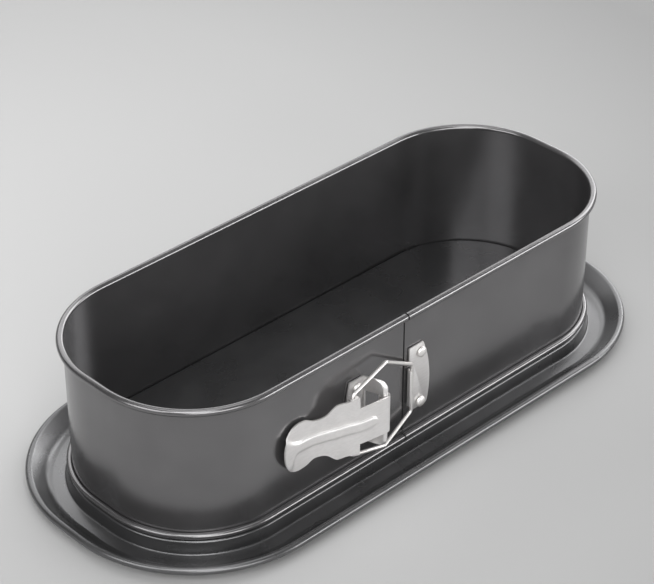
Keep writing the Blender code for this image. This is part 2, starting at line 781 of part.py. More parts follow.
def lever_stations():
    """Along the lever: place (x, out), along, inner half width, full half width or None."""
    radius = knuckle_radius()
    end = math.pi / 2
    curl = arc_points((HINGE_X, HINGE_OUT), radius, end - KNUCKLE_SWEEP, end, KNUCKLE_STEPS)
    stations = [(x, out, 0, tongue_half(), None) for x, out in curl]
    profile = ((0, radius),) + LEVER_PROFILE
    tongue = [RIB_START / 2] + [RIB_START + RIB_HALF * share for share in (0, 0.2, 0.55, 1)]
    tongue.append((tongue[-1] + NOTCH_ALONG) / 2)
    ear = [math.pi * step / EAR_STEPS for step in range(EAR_STEPS + 1)]
    body = [pivot_along() - EAR_RADIUS * math.cos(angle) for angle in ear]
    rest = TIP_START - body[-1]
    body += [TIP_START - rest * (1 - step / BODY_STEPS) for step in range(1, BODY_STEPS + 1)]
    tip = [TIP_START + (LEVER_LENGTH - TIP_START) * share for share in (0.22, 0.42, 0.6, 0.76, 0.88, 0.96)]
    for along in tongue:
        out = HINGE_OUT + smooth_value(profile, along)
        stations.append((HINGE_X - along, out, along, tongue_half(), None))
    ratio = tongue_half() / LEVER_WIDTH[0][1]
    for along in body + tip:
        half = lever_half_width(along)
        out = HINGE_OUT + smooth_value(profile, along)
        stations.append((HINGE_X - along, out, along, half * ratio, half))
    return stations


def lever_columns(along, inner, full, side):
    """Heights of the sheet's columns on one side of the middle, from the middle outwards."""
    rib, slope = rib_side(along, side)
    rib = max(rib, RIB_LEAST)
    flank = [max(rib - slope * share, CREST_LEAST) for share in (1, 0.5, 0)]
    squeeze = min(1, inner * RIB_SHARE / rib)
    near = [height * squeeze for height in flank]
    near += [(near[-1] + inner) / 2, inner]
    if full is not None:
        near += [(inner + full) / 2, full]
    return near


def lever_sheet():
    """The lever's middle surface: knuckle, tongue, body, and an ear folded back on each side."""
    sheet = bmesh.new()
    rows = []
    for x, out, along, inner, full in lever_stations():
        row = {}
        places = {0: 0}
        for side in (-1, 1):
            columns = lever_columns(along, inner, full, side)
            places.update({side * (index + 1): side * height for index, height in enumerate(columns)})
        for index, height in places.items():
            rise = rib_rise(along, height) if along > RIB_START else 0
            row[index] = sheet.verts.new((x, wall_y(out + rise), CLASP_Z + height))
        rows.append((row, along))
    for (here, _), (there, _) in zip(rows, rows[1:]):
        reach = max(here)
        for index in range(-reach, reach):
            if index in there and index + 1 in there:
                sheet.faces.new((here[index], here[index + 1], there[index + 1], there[index]))
    add_ears(sheet, rows)
    bmesh.ops.recalc_face_normals(sheet, faces=sheet.faces)
    mesh = bpy.data.meshes.new("clasp_lever")
    sheet.to_mesh(mesh)
    sheet.free()
    return mesh


def add_ears(sheet, rows):
    """Folds the sheet back towards the wall at both edges behind the notch, round at its end."""
    full = max(max(row) for row, _ in rows)
    for side in (-1, 1):
        folded = []
        for row, along in rows:
            edge = max(row) if side > 0 else min(row)
            offset = (along - pivot_along()) / EAR_RADIUS
            if abs(edge) == full and offset < 1 + SLIVER:
                vert = row[edge]
                reach = PIVOT_OUT - EAR_RADIUS * math.sqrt(max(0, 1 - offset ** 2))
                folded.append((vert, sheet.verts.new((vert.co.x, wall_y(reach), vert.co.z))))
        for (one, one_low), (two, two_low) in zip(folded, folded[1:]):
            sheet.faces.new((one, two, two_low, one_low))


def make_lever(material):
    lever = add_mesh("clasp_lever", lever_sheet(), cutters)
    thicken(lever, CLASP_SHEET)
    lever = applied(lever, cutters)
    tall = 2 * CLASP_HEIGHT
    hole = cylinder("pivot_hole", WIRE_RADIUS + HINGE_CLEAR, tall, (*pivot_place(), CLASP_Z), "Z")
    combine(lever, hole, "DIFFERENCE")
    return finish_piece(lever, material, (HINGE_X, wall_y(HINGE_OUT), CLASP_Z))


# Bail


def rounded_path(corners, radii, steps):
    """A path through corner points, each inner corner turned on its radius."""
    points = [Vector(corners[0])]
    for index in range(1, len(corners) - 1):
        here = Vector(corners[index])
        into = (Vector(corners[index - 1]) - here).normalized()
        away = (Vector(corners[index + 1]) - here).normalized()
        half = into.angle(away) / 2
        back = radii[index] / math.tan(half)
        middle = (into + away).normalized() * (radii[index] / math.sin(half))
        start = here + into * back - (here + middle)
        end = here + away * back - (here + middle)
        sweep = start.angle(end)
        for step in range(steps + 1):
            share = step / steps
            point = (start * math.sin((1 - share) * sweep) + end * math.sin(share * sweep)) / math.sin(sweep)
            points.append(here + middle + point)
    points.append(Vector(corners[-1]))
    return points


def bail_corners():
    """The wire's corner points: stub, arm, bend, bar, bend, arm, stub."""
    pivot = Vector((*pivot_place(), 0))
    bar = Vector((BAR_X, wall_y(bar_out()), 0))
    bend = bar + (pivot - bar).normalized() * BAIL_BEND_REACH
    levels = (
        (pivot, 0, BAIL_END_HALF - STUB_LENGTH),
        (pivot, 0, BAIL_END_HALF),
        (bend, BAIL_BEND_DROP, BAIL_BEND_HALF),
        (bar, BAIL_BAR_DROP, BAIL_BAR_HALF),
    )
    upper = [place + Vector((0, 0, CLASP_Z - drop + half)) for place, drop, half in levels]
    lower = [place + Vector((0, 0, CLASP_Z - drop - half)) for place, drop, half in levels]
    return upper + lower[::-1]


def make_bail(material):
    corner = BAIL_CORNER_RADIUS
    radii = (0, corner, BAIL_BEND_RADIUS, corner, corner, BAIL_BEND_RADIUS, corner, 0)
    path = rounded_path(bail_corners(), radii, 5)
    curve = bpy.data.curves.new("wire_bail", "CURVE")
    curve.dimensions = "3D"
    curve.bevel_depth = WIRE_RADIUS
    curve.bevel_resolution = 3
    curve.use_fill_caps = True
    spline = curve.splines.new("POLY")
    spline.points.add(len(path) - 1)
    for knot, point in zip(spline.points, path):
        knot.co = (*point, 1)
    bail = bpy.data.objects.new("wire_bail", curve)
    cutters.objects.link(bail)
    bpy.context.view_layer.update()
    return finish_piece(bail, material, (*pivot_place(), CLASP_Z))


def build():
    coated_wall = make_material("non_stick_coated_steel_band", (0.105, 0.105, 0.108), 0.34, 0.3)
    coated_tray = make_material("non_stick_coated_steel_tray", (0.060, 0.060, 0.062), 0.32, 0.3)
    zinc = make_material("zinc_plated_steel", (0.74, 0.73, 0.72), 0.30, 1.0)
    bright_wire = make_material("drawn_steel_wire", (0.78, 0.77, 0.76), 0.22, 1.0)
    rivet_steel = make_material("plated_rivet_steel", (0.80, 0.79, 0.78), 0.26, 1.0)
    make_base(coated_tray)
    make_band(coated_wall)
    make_bracket(zinc)
    make_catch_plate(zinc)
    for name, place in rivet_places().items():
        make_rivet(name, place, rivet_steel)
    make_lever(zinc)
    make_bail(bright_wire)


build()
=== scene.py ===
import json
import math

import bmesh
import bpy
from mathutils import Matrix, Vector


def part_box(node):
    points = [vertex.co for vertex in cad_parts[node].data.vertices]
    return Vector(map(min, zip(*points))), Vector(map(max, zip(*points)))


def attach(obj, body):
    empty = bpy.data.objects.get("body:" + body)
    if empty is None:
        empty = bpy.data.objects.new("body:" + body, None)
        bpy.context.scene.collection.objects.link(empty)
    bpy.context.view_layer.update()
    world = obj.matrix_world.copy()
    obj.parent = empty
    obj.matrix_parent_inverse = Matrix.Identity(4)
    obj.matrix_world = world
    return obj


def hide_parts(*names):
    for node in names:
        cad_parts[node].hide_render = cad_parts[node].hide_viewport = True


# Springform loaf pan. Metres, +Z up, the clasp on the -Y side, the table at z = 0.

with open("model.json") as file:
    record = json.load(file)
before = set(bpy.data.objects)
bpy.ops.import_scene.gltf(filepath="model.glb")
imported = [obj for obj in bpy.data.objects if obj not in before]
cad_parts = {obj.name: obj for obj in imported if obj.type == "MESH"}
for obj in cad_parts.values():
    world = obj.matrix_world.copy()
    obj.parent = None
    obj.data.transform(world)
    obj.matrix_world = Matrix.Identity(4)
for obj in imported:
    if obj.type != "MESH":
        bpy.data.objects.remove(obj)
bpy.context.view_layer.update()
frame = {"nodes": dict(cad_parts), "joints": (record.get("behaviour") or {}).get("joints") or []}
print("frame loaded,", len(frame["nodes"]), "nodes")

joints = {joint["name"]: joint for joint in frame["joints"]}
hinge = Vector(joints["lever_swing"]["pos_m"])
pivot = Vector(joints["bail_swing"]["pos_m"])
millimetre = 0.001

pan = {
    "height": 0.0750,
    "wallLength": 0.2734,  # outside of the band's wall
    "wallWidth": 0.1046,
    "cornerRadius": 0.0456,
    "cornerSteps": 26,
    "runStep": 0.010,  # straight runs are split at this length, so that they shade evenly
    "guard": 0.0005,  # rows this close to a bend keep the flat beside it flat
    "flatRun": 0.0030,  # from a bend to the next row on the flat
    "seatGap": 0.0003,
}
wallFront = -pan["wallWidth"] / 2
hingeOut = wallFront - hinge.y  # how far the lever's two axes stand out of the wall
pivotOut = wallFront - pivot.y

edges = {
    "sharpSheet": 35,  # degrees, above which an edge is shaded sharp
    "sharpRound": 50,
    "bevelFrom": 40,
    "bevelSegments": 2,
    "weld": 1e-6,
    "mitreLimit": 2,  # how many half thicknesses a sheet's corner may stand out
}


# Node and mesh helpers


def addNode(tree, kind, inputs=None, **settings):
    node = tree.nodes.new(kind)
    for name, value in settings.items():
        setattr(node, name, value)
    for key, value in (inputs or {}).items():
        if isinstance(value, bpy.types.NodeSocket):
            tree.links.new(value, node.inputs[key])
        else:
            node.inputs[key].default_value = value
    return node


def addObject(name, data):
    thing = bpy.data.objects.new(name, data)
    bpy.context.scene.collection.objects.link(thing)
    return thing


def linearColour(hexColour):
    parts = [int(hexColour[place:place + 2], 16) / 255 for place in (0, 2, 4)]
    linear = [part / 12.92 if part <= 0.04045 else ((part + 0.055) / 1.055) ** 2.4 for part in parts]
    return (*linear, 1.0)


def arcPoints(centre, radius, start, end, steps):
    points = []
    for step in range(steps + 1):
        angle = start + (end - start) * step / steps
        points.append((centre[0] + radius * math.cos(angle), centre[1] + radius * math.sin(angle)))
    return points


def addSource(name, solid):
    bmesh.ops.recalc_face_normals(solid, faces=solid.faces)
    mesh = bpy.data.meshes.new(name)
    solid.to_mesh(mesh)
    solid.free()
    return addObject(name, mesh)


# Left and right side of a sheet of even thickness, from its middle line
def sheetSides(line, thickness):
    left, right = [], []
    last = len(line) - 1
    for index, point in enumerate(line):
        here = Vector(point)
        into = here - Vector(line[max(index - 1, 0)])
        away = Vector(line[min(index + 1, last)]) - here
        into = (into if index else away).normalized()
        away = (away if index < last else into).normalized()
        side = Vector((-into.y - away.y, into.x + away.x)).normalized()
        stretch = 1 / max(1 / edges["mitreLimit"], side.dot(Vector((-into.y, into.x))))
        left.append(here + side * thickness / 2 * stretch)
        right.append(here - side * thickness / 2 * stretch)
    return left, right


def polyCurve(name, points, cyclic, radii=None):
    curve = bpy.data.curves.new(name, "CURVE")
    curve.dimensions = "3D"
    spline = curve.splines.new("POLY")
    spline.points.add(len(points) - 1)
    for index, (knot, point) in enumerate(zip(spline.points, points)):
        knot.co = (*point, 1)
        knot.radius = radii[index] if radii else 1
    spline.use_cyclic_u = cyclic
    return addObject(name, curve)


# The evaluated object as a plain closed mesh, smooth but for its sharp edges
def plainMesh(thing, name, material, sharp=edges["sharpSheet"]):
    graph = bpy.context.evaluated_depsgraph_get()
    mesh = bpy.data.meshes.new_from_object(thing.evaluated_get(graph))
    mesh.transform(thing.matrix_world)
    bpy.data.objects.remove(thing, do_unlink=True)
    solid = bmesh.new()
    solid.from_mesh(mesh)
    bmesh.ops.remove_doubles(solid, verts=solid.verts, dist=edges["weld"])
    openEdges = [edge for edge in solid.edges if len(edge.link_faces) == 1]
    if openEdges:
        bmesh.ops.edgeloop_fill(solid, edges=openEdges)
    bmesh.ops.recalc_face_normals(solid, faces=solid.faces)
    solid.to_mesh(mesh)
    solid.free()
    mesh.name = name
    mesh.materials.clear()
    mesh.materials.append(material)
    mesh.shade_smooth()
    mesh.set_sharp_from_angle(angle=math.radians(sharp))
    return addObject(name, mesh)


def soften(thing, width):
    bevel = thing.modifiers.new("edge", "BEVEL")
    bevel.width = width
    bevel.segments = edges["bevelSegments"]
    bevel.limit_method = "ANGLE"
    bevel.angle_limit = math.radians(edges["bevelFrom"])
    bevel.use_clamp_overlap = True


# Finishes


noiseSpan = (0.3, 0.7)  # where most of a noise's values lie

coating = {
    "cloud": (0.022, 3),  # size and detail of each noise
    "flake": (0.0005, 1),
    "peel": (0.0016, 2),
    "flakeShare": 0.3,
    "stops": (0.35, 0.65),
    "smoother": 0.03,
    "duller": 0.04,
    "peelDepth": 0.02 * millimetre,
    "peelStrength": 0.35,
}

plating = {
    "cloud": (0.006, 3),
    "grainDetail": 3,
    "grainShare": 0.5,
    "stops": (0.35, 0.62),
    "smoother": 0.03,
    "duller": 0.04,
    "grainDepth": 0.01 * millimetre,
    "grainStrength": 0.2,
}


def startMaterial(name, metallic, roughness):
    material = bpy.data.materials.new(name)
    material.use_nodes = True
    shader = material.node_tree.nodes["Principled BSDF"]
    shader.inputs["Metallic"].default_value = metallic
    shader.inputs["Roughness"].default_value = roughness
    place = addNode(material.node_tree, "ShaderNodeTexCoord")
    return material, material.node_tree, shader, place.outputs["Object"]


def addNoise(tree, place, size, detail):
    noise = addNode(tree, "ShaderNodeTexNoise", {"Vector": place, "Scale": 1 / size, "Detail": detail})
    return noise.outputs["Fac"]


# Colour that follows a tone, from one shade to the other between two stops
def addTint(tree, shader, tone, stops, shades):
    ramp = addNode(tree, "ShaderNodeValToRGB", {"Fac": tone})
    for element, stop, shade in zip(ramp.color_ramp.elements, stops, shades):
        element.position = stop
        element.color = linearColour(shade)
    tree.links.new(ramp.outputs["Color"], shader.inputs["Base Color"])


def addDullness(tree, shader, tone, first, last):
    dull = addNode(tree, "ShaderNodeMapRange", {
        "Value": tone, "From Min": noiseSpan[0], "From Max": noiseSpan[1],
        "To Min": first, "To Max": last,
    })
    tree.links.new(dull.outputs["Result"], shader.inputs["Roughness"])


def addRelief(tree, shader, height, depth, strength):
    bump = addNode(tree, "ShaderNodeBump", {"Height": height, "Distance": depth, "Strength": strength})
    tree.links.new(bump.outputs["Normal"], shader.inputs["Normal"])


# PTFE non-stick coating, sprayed on sheet steel and baked: a dark grey with fine metal flake in
# it, which mirrors softly, with a faint orange peel and a cloudy thickness.
def nonStickCoating(name, deep, pale, metallic, roughness):
    material, tree, shader, place = startMaterial(name, metallic, roughness)
    cloud = addNoise(tree, place, *coating["cloud"])
    flake = addNoise(tree, place, *coating["flake"])
    peel = addNoise(tree, place, *coating["peel"])
    tone = addNode(tree, "ShaderNodeMix", {0: coating["flakeShare"], 2: cloud, 3: flake}).outputs[0]
    addTint(tree, shader, tone, coating["stops"], (deep, pale))
    addDullness(tree, shader, cloud, roughness - coating["smoother"], roughness + coating["duller"])
    addRelief(tree, shader, peel, coating["peelDepth"], coating["peelStrength"])
    return material


# Steel with a thin bright plating. The grain runs along one axis, where rolls or a drawing die
# left it, and the plating is a little cloudy.
def platedSteel(name, deep, pale, metallic, roughness, grain, grainSize):
    material, tree, shader, place = startMaterial(name, metallic, roughness)
    drawn = addNode(tree, "ShaderNodeMapping", {"Vector": place, "Scale": grain}).outputs["Vector"]
    lines = addNoise(tree, drawn, grainSize, plating["grainDetail"])
    cloud = addNoise(tree, place, *plating["cloud"])
    tone = addNode(tree, "ShaderNodeMix", {0: plating["grainShare"], 2: cloud, 3: lines}).outputs[0]
    addTint(tree, shader, tone, plating["stops"], (deep, pale))
    addDullness(tree, shader, tone, roughness + plating["duller"], roughness - plating["smoother"])
    addRelief(tree, shader, lines, plating["grainDepth"], plating["grainStrength"])
    return material


# Name, darker and lighter shade, metallic, roughness. On steel also how far the grain is drawn
# out along x, y and z, and its size.
wallCoating = nonStickCoating("nonStickCoatingOnBand", "767576", "7f7e7f", 0.85, 0.22)
trayCoating = nonStickCoating("nonStickCoatingOnTray", "656566", "6e6e6f", 0.85, 0.28)
zincPlate = platedSteel("zincPlatedSheetSteel", "e8e6e5", "f3f1f0", 0.95, 0.45, (0.15, 1, 1), 0.0007)
drawnWire = platedSteel("platedDrawnWire", "e8e5e3", "f6f4f2", 1.0, 0.34, (1, 1, 0.3), 0.0005)
rivetSteel = platedSteel("platedRivetSteel", "e6e3e1", "f4f2f0", 0.9, 0.40, (1, 1, 1), 0.0008)
print("finishes made")


# Geometry Nodes: each group takes its values and a finish, and returns one piece


def startTree(name, inputs):
    tree = bpy.data.node_groups.new(name, "GeometryNodeTree")
    for label, kind in {"Geometry": "Geometry", **inputs, "Finish": "Material"}.items():
        tree.interface.new_socket(name=label, in_out="INPUT", socket_type="NodeSocket" + kind)
    tree.interface.new_socket(name="Geometry", in_out="OUTPUT", socket_type="NodeSocketGeometry")
    return tree, addNode(tree, "NodeGroupInput").outputs


def endTree(tree, geometry, finish):
    real = addNode(tree, "GeometryNodeRealizeInstances", {"Geometry": geometry})
    finished = addNode(tree, "GeometryNodeSetMaterial", {
        "Geometry": real.outputs["Geometry"], "Material": finish,
    })
    addNode(tree, "NodeGroupOutput", {"Geometry": finished.outputs["Geometry"]})
    return tree


# The piece that a group makes, from a mesh if it needs one. The objects it was given are removed.
def runNodes(name, tree, values, material, sharp=edges["sharpSheet"], mesh=None):
    host = addObject(name + "Host", mesh or bpy.data.meshes.new(name))
    nodes = host.modifiers.new("nodes", "NODES")
    nodes.node_group = tree
    given = {**values, "Finish": material}
    for socket in tree.interface.items_tree:
        if socket.in_out == "INPUT" and socket.name in given:
            nodes[socket.identifier] = given[socket.name]
    piece = plainMesh(host, name, material, sharp)
    for value in values.values():
        if isinstance(value, bpy.types.Object):
            bpy.data.objects.remove(value, do_unlink=True)
    return piece


# Sheets swept round the oval: the tray and the band


# An outline carried along a path, upright all the way
def makeSweepTree():
    tree, given = startTree("sweepAlongPath", {
        "Path": "Object", "Outline": "Object", "Close Ends": "Bool",
    })
    path = addNode(tree, "GeometryNodeObjectInfo", {"Object": given["Path"]})
    outline = addNode(tree, "GeometryNodeObjectInfo", {"Object": given["Outline"]})
    upright = addNode(tree, "GeometryNodeSetCurveNormal", {
        "Curve": path.outputs["Geometry"],
    }, mode="Z_UP")
    swept = addNode(tree, "GeometryNodeCurveToMesh", {
        "Curve": upright.outputs["Curve"],
        "Profile Curve": outline.outputs["Geometry"],
        "Fill Caps": given["Close Ends"],
    })
    return endTree(tree, swept.outputs["Mesh"], given["Finish"])


# Points round the wall's outside, anticlockwise from the front, closed or open at a seam
def ovalPath(seamX=None, seamGap=0.0):
    reachX = pan["wallLength"] / 2 - pan["cornerRadius"]
    reachY = pan["wallWidth"] / 2 - pan["cornerRadius"]
    corners = []
    for sideX, sideY, start in ((1, -1, -90), (1, 1, 0), (-1, 1, 90), (-1, -1, 180)):
        arc = arcPoints(
            (sideX * reachX, sideY * reachY), pan["cornerRadius"],
            math.radians(start), math.radians(start + 90), pan["cornerSteps"],
        )
        corners += [Vector((x, y, 0)) for x, y in arc]
    if seamX is None:
        corners.append(corners[0])
    else:
        corners.insert(0, Vector((seamX + seamGap / 2, wallFront, 0)))
        corners.append(Vector((seamX - seamGap / 2, wallFront, 0)))
    points = [corners[0]]
    for one, two in zip(corners, corners[1:]):
        pieces = max(1, round((two - one).length / pan["runStep"]))
        points += [one.lerp(two, step / pieces) for step in range(1, pieces + 1)]
    return points[:-1] if seamX is None else points


# An outline point lies (out, height) from the path, which the sweep takes as (x, -y)
def outlineCurve(name, points, cyclic):
    return polyCurve(name, [(out, -height, 0) for out, height in points], cyclic)


sweepTree = makeSweepTree()

tray = {  # offsets outwards from the wall's outside, heights from the table
    "sheet": 0.0008,
    "floorTop": 0.0106,
    "ledgeTop": 0.0080,
    "ledgeReach": 0.0022,
    "shoulderRadius": 0.0006,
    "stepRadius": 0.0007,
    "creaseOut": 0.0028,  # where the ledge's side turns into the channel
    "creaseHeight": 0.0012,
    "creaseRadius": 0.0012,
    "channelOut": 0.0090,
    "channelRadius": 0.0080,
    "lipAngle": 46,
    "lipRadius": 0.0060,
    "reach": 0.0203,
    "rimTop": 0.0081,
    "curl": 0.0018,  # outer radius of the rolled rim
    "curlEnd": -110,
    "bendSteps": 10,
    "curlSteps": 20,
}

band = {
    "sheet": 0.0006,
    "rimCurl": 0.0017,  # outer radius of the rolled edges
    "footCurl": 0.0015,
    "rimCurlEnd": -115,
    "footCurlEnd": 112,
    "curlSteps": 22,
    "seamX": -0.0127,
    "seamGap": 0.0008,
    "lapRoot": 0.0080,  # length on the band's left end
    "lapTongue": 0.0067,  # length past the seam
    "lapClear": 0.0014,
    "lapCuts": 12,
    "lapEdge": 0.00015,
}


# A line through corners, each (out, height, radius), with the corners rounded
def roundedLine(corners, steps):
    guard = pan["guard"]
    line = [tuple(corners[0][:2])]
    for before, here, after in zip(corners, corners[1:], corners[2:]):
        corner, radius = Vector(here[:2]), here[2]
        into = (corner - Vector(before[:2])).normalized()
        away = (Vector(after[:2]) - corner).normalized()
        turn = into.angle_signed(away)  # clockwise is positive
        side = 1 if turn > 0 else -1
        start = corner - into * radius * math.tan(abs(turn) / 2)
        centre = start + Vector((into.y, -into.x)) * side * radius
        first = math.atan2(start.y - centre.y, start.x - centre.x)
        line.append(tuple(start - into * guard))
        line += arcPoints(centre, radius, first, first - turn, steps)
        line.append(tuple(Vector(line[-1]) + away * guard))
    return line


# Middle line of the tray's sheet, from the raised floor out to the rolled rim
def trayLine():
    half = tray["sheet"] / 2
    stepOut = -band["sheet"] - pan["seatGap"] - half
    floorZ = tray["floorTop"] - half
    ledgeZ = tray["ledgeTop"] - half
    curl = tray["curl"] - half
    curlCentre = (tray["reach"] - tray["curl"], tray["rimTop"] - tray["curl"])
    lipAngle = math.radians(tray["lipAngle"])
    touch = math.pi / 2 + lipAngle
    touchOut = curlCentre[0] + curl * math.cos(touch)
    touchZ = curlCentre[1] + curl * math.sin(touch)
    lipOut = touchOut - (touchZ - half) / math.tan(lipAngle)
    corners = [
        (stepOut - tray["stepRadius"] - pan["flatRun"], floorZ, 0),
        (stepOut, floorZ, tray["stepRadius"]),
        (stepOut, ledgeZ, tray["stepRadius"]),
        (tray["ledgeReach"] - half, ledgeZ, tray["shoulderRadius"]),
        (tray["creaseOut"], tray["creaseHeight"], tray["creaseRadius"]),
        (tray["channelOut"], half, tray["channelRadius"]),
        (lipOut, half, tray["lipRadius"]),
        (touchOut, touchZ, 0),
    ]
    line = roundedLine(corners, tray["bendSteps"])
    line += arcPoints(curlCentre, curl, touch, math.radians(tray["curlEnd"]), tray["curlSteps"])
    return line


# Middle line of the band's sheet, from the rolled bottom edge up to the rolled rim
def bandLine():
    half = band["sheet"] / 2
    foot = band["footCurl"] - half
    rim = band["rimCurl"] - half
    guard, run = pan["guard"], pan["flatRun"]
    footCentre = (-half + foot, tray["ledgeTop"] + pan["seatGap"] + band["footCurl"])
    rimCentre = (-half + rim, pan["height"] - band["rimCurl"])
    turn = 2 * math.pi + math.radians(band["footCurlEnd"])
    line = arcPoints(footCentre, foot, turn, math.pi, band["curlSteps"])
    line += [(-half, footCentre[1] + guard), (-half, footCentre[1] + run)]
    line += [(-half, rimCentre[1] - run), (-half, rimCentre[1] - guard)]
    line += arcPoints(rimCentre, rim, math.pi, math.radians(band["rimCurlEnd"]), band["curlSteps"])
    return line


def makeTray():
    upper, lower = sheetSides(trayLine(), tray["sheet"])
    path = polyCurve("trayPath", ovalPath(), True)
    outline = outlineCurve("trayOutline", upper + lower[::-1], False)
    values = {"Path": path, "Outline": outline, "Close Ends": False}
    return runNodes("baseTray", sweepTree, values, trayCoating)


def makeBand():
    outer, inner = sheetSides(bandLine(), band["sheet"])
    path = polyCurve("bandPath", ovalPath(band["seamX"], band["seamGap"]), False)
    outline = outlineCurve("bandOutline", outer + inner[::-1], True)
    values = {"Path": path, "Outline": outline, "Close Ends": True}
    return runNodes("springBand", sweepTree, values, wallCoating)


# The strip behind the seam, spot welded to the band's left end and free past the seam
def makeLap():
    inner = wallFront + band["sheet"]
    root = band["seamX"] - band["seamGap"] / 2
    tip = root + band["seamGap"] + band["lapTongue"]
    face = inner + pan["seatGap"]
    low = tray["floorTop"] + band["lapClear"]
    high = pan["height"] - 2 * band["rimCurl"] - band["lapClear"]
    strip = bmesh.new()
    bmesh.ops.create_cube(strip, size=1)
    for vert in strip.verts:
        side = vert.co.copy()
        vert.co.x = tip if side.x > 0 else root - band["lapRoot"]
        vert.co.y = face + band["sheet"] if side.y > 0 else inner
        vert.co.z = high if side.z > 0 else low
    runs = [edge for edge in strip.edges if abs(edge.verts[0].co.x - edge.verts[1].co.x) > millimetre]
    bmesh.ops.subdivide_edges(strip, edges=runs, cuts=band["lapCuts"])
    for vert in strip.verts:
        if vert.co.x > root and vert.co.y < face:
            vert.co.y = face
    lap = addSource("lapSource", strip)
    soften(lap, band["lapEdge"])
    return plainMesh(lap, "innerLap", wallCoating)


# Rivets


rivets = {
    "head": 0.0026,  # radius
    "dome": 0.0013,
    "tail": 0.0023,  # radius
    "tailHeight": 0.0005,
    "plate": 0.0007,  # thickness of what the rivets hold on the band
    "fullness": 0.8,  # power of the dome's height, fuller than a ball when under 1
    "segments": 40,
    "rings": 20,
}
rivetNodes = ["bracket_rivet_upper", "bracket_rivet_lower", "catch_rivet_upper", "catch_rivet_lower"]


# On every point of a mesh a dome that faces the front, and behind it, through the sheets that the
# rivet grips, a flatter one that faces the inside
def makeRivetTree():
    sizes = ("Head Radius", "Dome Height", "Tail Radius", "Tail Height", "Grip", "Fullness")
    counts = ("Segments", "Rings")
    kinds = {**dict.fromkeys(sizes, "Float"), **dict.fromkeys(counts, "Int")}
    tree, given = startTree("rivetOnEachPoint", kinds)
    ball = addNode(tree, "GeometryNodeMeshUVSphere", {
        "Segments": given["Segments"], "Rings": given["Rings"], "Radius": 1.0,
    })
    place = addNode(tree, "GeometryNodeInputPosition")
    axes = addNode(tree, "ShaderNodeSeparateXYZ", {"Vector": place.outputs["Position"]})
    above = addNode(tree, "ShaderNodeMath", {0: axes.outputs["Z"], 1: 0.0}, operation="MAXIMUM")
    domed = addNode(tree, "ShaderNodeMath", {
        0: above.outputs[0], 1: given["Fullness"],
    }, operation="POWER")
    flat = addNode(tree, "ShaderNodeCombineXYZ", {
        "X": axes.outputs["X"], "Y": axes.outputs["Y"], "Z": domed.outputs[0],
    })
    dome = addNode(tree, "GeometryNodeSetPosition", {
        "Geometry": ball.outputs["Mesh"], "Position": flat.outputs["Vector"],
    })
    rows = []
    for radius, height, turn, depth in (
        ("Head Radius", "Dome Height", math.pi / 2, None),
        ("Tail Radius", "Tail Height", -math.pi / 2, "Grip"),
    ):
        points = addNode(tree, "GeometryNodeSetPosition", {"Geometry": given["Geometry"]})
        if depth:
            shift = addNode(tree, "ShaderNodeCombineXYZ", {"Y": given[depth]})
            tree.links.new(shift.outputs["Vector"], points.inputs["Offset"])
        size = addNode(tree, "ShaderNodeCombineXYZ", {
            "X": given[radius], "Y": given[radius], "Z": given[height],
        })
        rows.append(addNode(tree, "GeometryNodeInstanceOnPoints", {
            "Points": points.outputs["Geometry"],
            "Instance": dome.outputs["Geometry"],
            "Rotation": (turn, 0, 0),
            "Scale": size.outputs["Vector"],
        }))
    both = addNode(tree, "GeometryNodeJoinGeometry")
    for row in rows:
        tree.links.new(row.outputs["Instances"], both.inputs["Geometry"])
    return endTree(tree, both.outputs["Geometry"], given["Finish"])


def makeRivets():
    plateFace = wallFront - 2 * pan["seatGap"] - rivets["plate"]
    seats = []
    for node in rivetNodes:
        low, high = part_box(node)
        seats.append(((low[0] + high[0]) / 2, plateFace, (low[2] + high[2]) / 2))
    mesh = bpy.data.meshes.new("rivetSeats")
    mesh.from_pydata(seats, [], [])
    values = {
        "Head Radius": rivets["head"],
        "Dome Height": rivets["dome"],
        "Tail Radius": rivets["tail"],
        "Tail Height": rivets["tailHeight"],
        "Grip": rivets["plate"] + 3 * pan["seatGap"] + band["sheet"],
        "Fullness": rivets["fullness"],
        "Segments": rivets["segments"],
        "Rings": rivets["rings"],
    }
    return runNodes("rivets", makeRivetTree(), values, rivetSteel, edges["sharpRound"], mesh)


# Pressed parts of the clasp: a sheet's section drawn out, and cut to its outline from each side


bracket = {
    "sheet": 0.0007,
    "height": 0.0336,
    "bend": 0.0010,
    "flangeAngle": 70.8,  # between the flange and the wall
    "barRadius": 0.0015,  # of the rolled edge, which the lever turns on
    "upperCorner": 0.0050,
    "lowerCorner": 0.0026,
    "rollEnd": 0.0003,  # radius of the rolled edge where it runs out
    "rollTaper": 2.5,  # how soon the roll reaches its full radius
    "rollSteps": 18,
    "barSides": 48,
    "bendSteps": 12,
    "footLeft": -0.0481,
    "footBulge": 0.0640,  # radius of the foot's left edge
    "bulgeSteps": 24,
    "windowEnd": 0.0072,  # from the bracket's upper and lower ends
    "windowStart": 0.0006,  # from the foot's outer face
    "edge": 0.0001,
}

plate = {
    "right": 0.0027,  # furthest x of the bulging right edge
    "bulge": 0.0531,  # its radius
    "bulgeDrop": 0.0041,  # its middle lies this far under the clasp's middle
    "cornerX": -0.0101,  # left edge above the hook
    "lowerX": -0.0074,  # left edge under the hook
    "round": 0.0018,  # radius of the lower right corner
    "hookSteps": 16,
    "bulgeSteps": 28,
    "roundSteps": 8,
    "wireClear": 0.0003,  # round the bail's bar
    "hookLip": 0.0010,  # how far the hook stands past the bar's axis
    "hookLength": 0.0185,
    "hookDrop": 0.0030,
    "hookRelief": 0.0014,  # cut over the hook, where its bend begins
}

